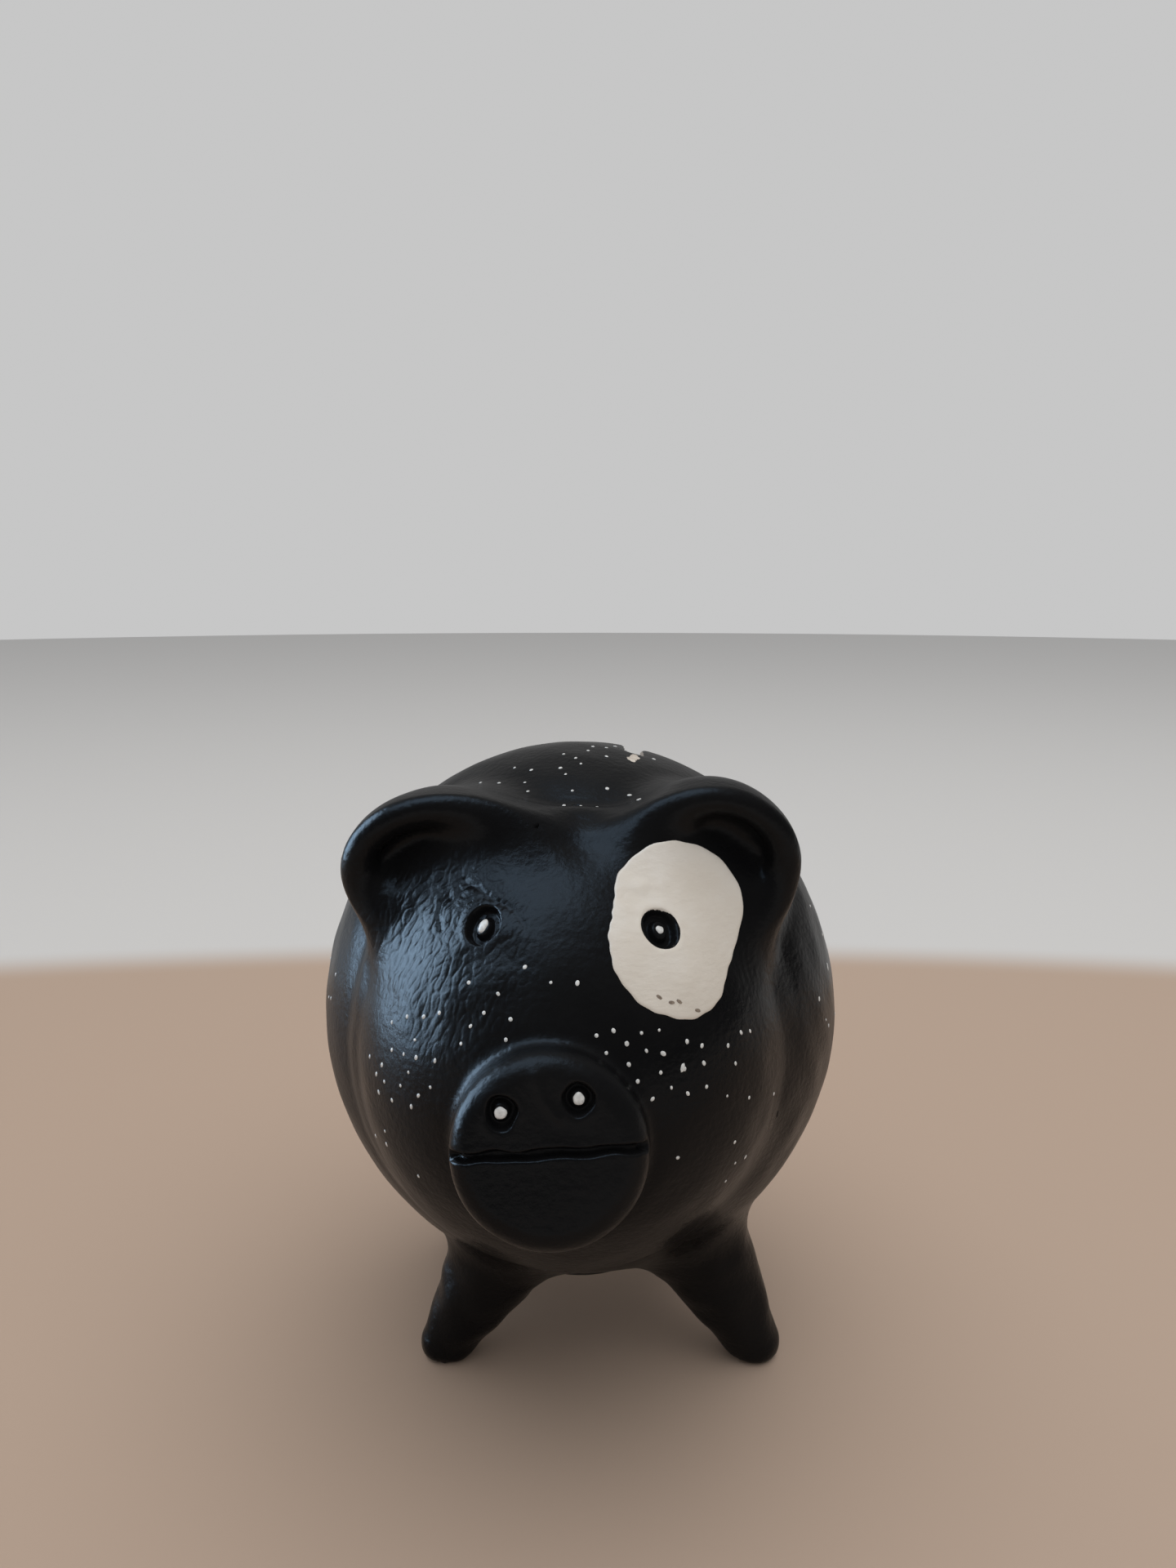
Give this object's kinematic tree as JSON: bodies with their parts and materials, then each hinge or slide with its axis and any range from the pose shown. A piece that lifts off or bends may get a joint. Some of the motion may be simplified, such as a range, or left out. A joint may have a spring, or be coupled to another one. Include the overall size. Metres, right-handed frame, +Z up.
{
  "type": "piggy bank",
  "caption": "Hand-built clay piggy bank, painted black, with a hollow ball body, hooded ears, a coin slot and a belly plug.",
  "frame": {"origin": "on the floor, under the middle of the bounding box", "axes": "+Z up; the pig faces -Y, so its own left side is at +X and +Y runs from snout to tail"},
  "size_m": [0.1, 0.1279, 0.1195],
  "materials": {
    "painted_clay": "satin black acrylic paint over fired clay, with a cream patch round one eye and white freckles",
    "rubber": "matt black moulded rubber"
  },
  "bodies": {
    "bank": {"front_bowl": "painted_clay", "rear_bowl": "painted_clay", "head_dome": "painted_clay", "snout": "painted_clay", "left_ear": "painted_clay", "right_ear": "painted_clay", "front_left_leg": "painted_clay", "front_right_leg": "painted_clay", "rear_left_leg": "painted_clay", "rear_right_leg": "painted_clay", "tail": "painted_clay"},
    "stopper": {"coin_stopper": "rubber"}
  },
  "joints": [
    {"name": "stopper_pull", "type": "slide", "parent": "bank", "child": "stopper", "axis": [0, 0, -1], "range_m": [0, 0.012]}
  ]
}
